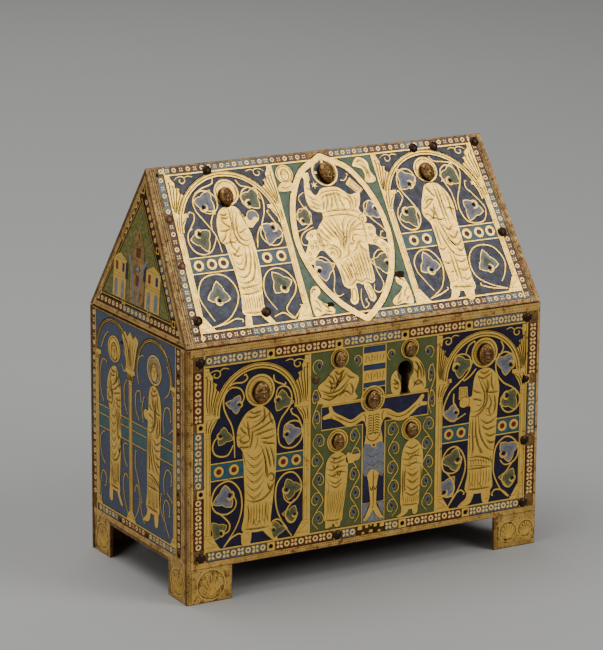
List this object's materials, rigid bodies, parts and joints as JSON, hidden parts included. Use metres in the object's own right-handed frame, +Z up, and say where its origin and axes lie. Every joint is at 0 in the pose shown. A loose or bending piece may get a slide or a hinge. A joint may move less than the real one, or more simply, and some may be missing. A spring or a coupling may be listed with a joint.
{
  "type": "reliquary casket",
  "caption": "House-shaped reliquary casket on four legs: hollow wooden box with a lift-off gabled lid, clad in enamelled gilt copper plates with cast relief heads.",
  "frame": {"origin": "centre of the whole casket's box in plan, at floor level under the legs", "axes": "+X to the right along the front, +Y to the back, +Z up; the front with the keyhole faces -Y"},
  "size_m": [0.2518, 0.136, 0.2549],
  "materials": {
    "gilt_copper": "worn gilding over copper, engraved and stippled",
    "enamel": "opaque champleve enamel, slightly pitted",
    "relief_copper": "dark patina with rubbed gilding on the high points",
    "nail_copper": "dark worn copper",
    "wood_core": "old dark oak, plain"
  },
  "bodies": {
    "root": {"back_board": "wood_core", "back_nail_1": "nail_copper", "back_nail_2": "nail_copper", "back_nail_3": "nail_copper", "back_nail_4": "nail_copper", "back_nail_5": "nail_copper", "back_plate": "gilt_copper", "bottom_board": "wood_core", "crucified_head": "relief_copper", "front_board": "wood_core", "front_nail_1": "nail_copper", "front_nail_2": "nail_copper", "front_nail_3": "nail_copper", "front_nail_4": "nail_copper", "front_nail_5": "nail_copper", "front_nail_6": "nail_copper", "front_nail_7": "nail_copper", "front_nail_8": "nail_copper", "front_plate": "gilt_copper", "left_attendant_head": "relief_copper", "left_bust_head": "relief_copper", "left_end_board": "wood_core", "left_end_plate": "gilt_copper", "left_gable_board": "wood_core", "left_gable_plate": "gilt_copper", "left_saint_head": "relief_copper", "majesty_head": "relief_copper", "right_attendant_head": "relief_copper", "right_bust_head": "relief_copper", "right_end_board": "wood_core", "right_end_nail_1": "nail_copper", "right_end_nail_2": "nail_copper", "right_end_nail_3": "nail_copper", "right_end_nail_4": "nail_copper", "right_end_plate": "gilt_copper", "right_gable_board": "wood_core", "right_gable_nail_1": "nail_copper", "right_gable_nail_2": "nail_copper", "right_gable_plate": "gilt_copper", "right_saint_head": "relief_copper", "roof_back_board": "wood_core", "roof_back_nail_1": "nail_copper", "roof_back_nail_2": "nail_copper", "roof_back_nail_3": "nail_copper", "roof_back_nail_4": "nail_copper", "roof_back_plate": "gilt_copper", "roof_front_board": "wood_core", "roof_front_nail_1": "nail_copper", "roof_front_nail_2": "nail_copper", "roof_front_nail_3": "nail_copper", "roof_front_nail_4": "nail_copper", "roof_front_nail_5": "nail_copper", "roof_front_nail_6": "nail_copper", "roof_front_nail_7": "nail_copper", "roof_front_nail_8": "nail_copper", "roof_front_nail_9": "nail_copper", "roof_front_plate": "gilt_copper", "roof_left_saint_head": "relief_copper", "roof_right_saint_head": "relief_copper"}
  },
  "joints": []
}
